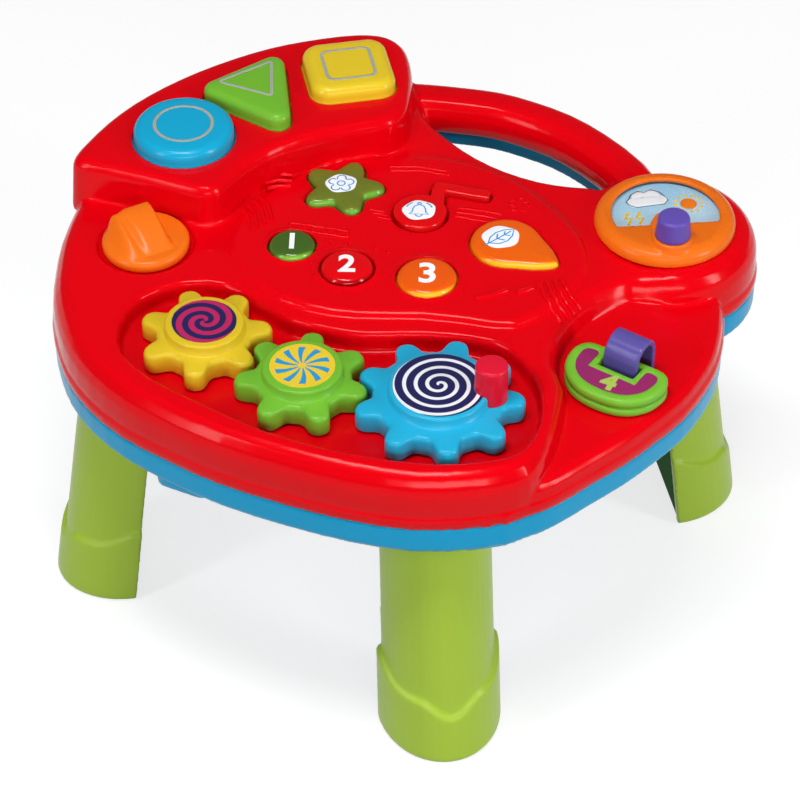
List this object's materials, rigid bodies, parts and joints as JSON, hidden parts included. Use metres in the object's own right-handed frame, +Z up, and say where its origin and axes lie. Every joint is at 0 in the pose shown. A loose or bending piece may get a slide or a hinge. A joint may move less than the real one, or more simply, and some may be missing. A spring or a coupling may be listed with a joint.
{
  "type": "activity table",
  "caption": "Round musical activity table on four half-tube legs, with shape and music buttons, a gear trough with a crank, a dial with a window, a twist knob, flip pages and a carrying bar.",
  "frame": {"origin": "on the floor, at the centre of the bounding box in plan", "axes": "+Z up, +Y towards the raised button shelf and the back leg, +X towards the dial; the child sits at -Y, by the gear trough"},
  "size_m": [0.4454, 0.4182, 0.258],
  "materials": {
    "shell_red": "glossy injection-moulded, red",
    "tray_blue": "glossy injection-moulded, blue",
    "leg_green": "satin injection-moulded, leaf green",
    "button_green": "glossy, green",
    "button_yellow": "glossy, yellow",
    "button_blue": "glossy, blue",
    "knob_orange": "glossy, orange",
    "knob_violet": "glossy, violet",
    "post_crimson": "glossy, crimson",
    "key_olive": "translucent, olive",
    "key_red": "translucent, red",
    "key_orange": "translucent, orange",
    "label_navy": "printed film, navy and white",
    "label_magenta": "printed film, magenta and navy",
    "label_yellow": "printed film, yellow and blue",
    "picture_blue": "printed card, pale blue",
    "inlay_purple": "printed, purple",
    "plain_grey": "plain, dark grey",
    "board_green": "solder mask",
    "silicone": "silicone",
    "screw_steel": "plated",
    "spring_steel": "nickel plated",
    "cell": "wrapped cell"
  },
  "bodies": {
    "table": {"top_shell": "shell_red", "bottom_tray": "tray_blue", "housing_screws": "screw_steel", "leg_front": "leg_green", "leg_back": "leg_green", "leg_left": "leg_green", "leg_right": "leg_green", "battery_door": "tray_blue", "battery_door_screw": "screw_steel", "batteries": "cell", "battery_contacts": "spring_steel", "circuit_board": "board_green", "speaker": "plain_grey", "switch_pads": "silicone", "gear_axles": "plain_grey", "picture_disc": "picture_blue", "dial_track": "plain_grey", "page_arch": "knob_violet"},
    "circle_key": {"circle_button": "button_blue"},
    "triangle_key": {"triangle_button": "button_green"},
    "square_key": {"square_button": "button_yellow"},
    "star_key": {"star_button": "key_olive"},
    "note_key": {"note_button": "shell_red"},
    "drop_key": {"drop_button": "key_orange"},
    "key_one": {"button_one": "key_olive"},
    "key_two": {"button_two": "key_red"},
    "key_three": {"button_three": "key_orange"},
    "twist": {"twist_knob": "knob_orange", "knob_shaft": "plain_grey"},
    "blue_gear": {"gear_blue": "button_blue", "blue_gear_label": "label_navy", "crank_post": "post_crimson"},
    "green_gear": {"gear_green": "button_green", "green_gear_label": "label_yellow"},
    "yellow_gear": {"gear_yellow": "button_yellow", "yellow_gear_label": "label_magenta"},
    "dial": {"dial_cover": "knob_orange", "dial_knob": "knob_violet"},
    "top_page": {"page_upper": "button_green", "page_upper_inlay": "inlay_purple"},
    "bottom_page": {"page_lower": "button_green"},
    "switch": {"power_switch": "plain_grey"}
  },
  "joints": [
    {"name": "circle_key_press", "type": "slide", "parent": "table", "child": "circle_key", "axis": [0, 0, -1], "range_m": [0, 0.004], "stiffness_N_per_m": 400, "springref_m": -0.004},
    {"name": "triangle_key_press", "type": "slide", "parent": "table", "child": "triangle_key", "axis": [0, 0, -1], "range_m": [0, 0.004], "stiffness_N_per_m": 400, "springref_m": -0.004},
    {"name": "square_key_press", "type": "slide", "parent": "table", "child": "square_key", "axis": [0, 0, -1], "range_m": [0, 0.004], "stiffness_N_per_m": 400, "springref_m": -0.004},
    {"name": "star_key_press", "type": "slide", "parent": "table", "child": "star_key", "axis": [0, 0, -1], "range_m": [0, 0.003], "stiffness_N_per_m": 300, "springref_m": -0.004},
    {"name": "note_key_press", "type": "slide", "parent": "table", "child": "note_key", "axis": [0, 0, -1], "range_m": [0, 0.003], "stiffness_N_per_m": 300, "springref_m": -0.004},
    {"name": "drop_key_press", "type": "slide", "parent": "table", "child": "drop_key", "axis": [0, 0, -1], "range_m": [0, 0.003], "stiffness_N_per_m": 300, "springref_m": -0.004},
    {"name": "key_one_press", "type": "slide", "parent": "table", "child": "key_one", "axis": [0, 0, -1], "range_m": [0, 0.003], "stiffness_N_per_m": 300, "springref_m": -0.004},
    {"name": "key_two_press", "type": "slide", "parent": "table", "child": "key_two", "axis": [0, 0, -1], "range_m": [0, 0.003], "stiffness_N_per_m": 300, "springref_m": -0.004},
    {"name": "key_three_press", "type": "slide", "parent": "table", "child": "key_three", "axis": [0, 0, -1], "range_m": [0, 0.003], "stiffness_N_per_m": 300, "springref_m": -0.004},
    {"name": "twist_turn", "type": "hinge", "parent": "table", "child": "twist", "pos_m": [-0.1479, 0.0431, 0.222], "axis": [0, 0, 1], "range_deg": [-60, 60]},
    {"name": "blue_gear_spin", "type": "hinge", "parent": "table", "child": "blue_gear", "pos_m": [-0.00176, -0.12626, 0.215], "axis": [0, 0, 1], "continuous": true},
    {"name": "green_gear_spin", "type": "hinge", "parent": "table", "child": "green_gear", "pos_m": [-0.0754, -0.095, 0.215], "axis": [0, 0, 1], "continuous": true},
    {"name": "yellow_gear_spin", "type": "hinge", "parent": "table", "child": "yellow_gear", "pos_m": [-0.1249, -0.0455, 0.215], "axis": [0, 0, 1], "continuous": true},
    {"name": "dial_spin", "type": "hinge", "parent": "table", "child": "dial", "pos_m": [0.1643, 0.0011, 0.225], "axis": [0, 0, 1], "continuous": true},
    {"name": "top_page_flip", "type": "hinge", "parent": "table", "child": "top_page", "pos_m": [0.1147, -0.1084, 0.216], "axis": [-0.7071, 0.7071, 0], "range_deg": [0, 184]},
    {"name": "bottom_page_flip", "type": "hinge", "parent": "table", "child": "bottom_page", "pos_m": [0.1147, -0.1084, 0.216], "axis": [-0.7071, 0.7071, 0], "range_deg": [0, 162]},
    {"name": "switch_slide", "type": "slide", "parent": "table", "child": "switch", "axis": [1, 0, 0], "range_m": [-0.003, 0.003]}
  ],
  "couplings": [
    {"joint": "green_gear_spin", "follows": "blue_gear_spin", "ratio": -1.2857},
    {"joint": "yellow_gear_spin", "follows": "blue_gear_spin", "ratio": 1.2857},
    {"joint": "bottom_page_flip", "follows": "top_page_flip", "ratio": 0.88}
  ]
}
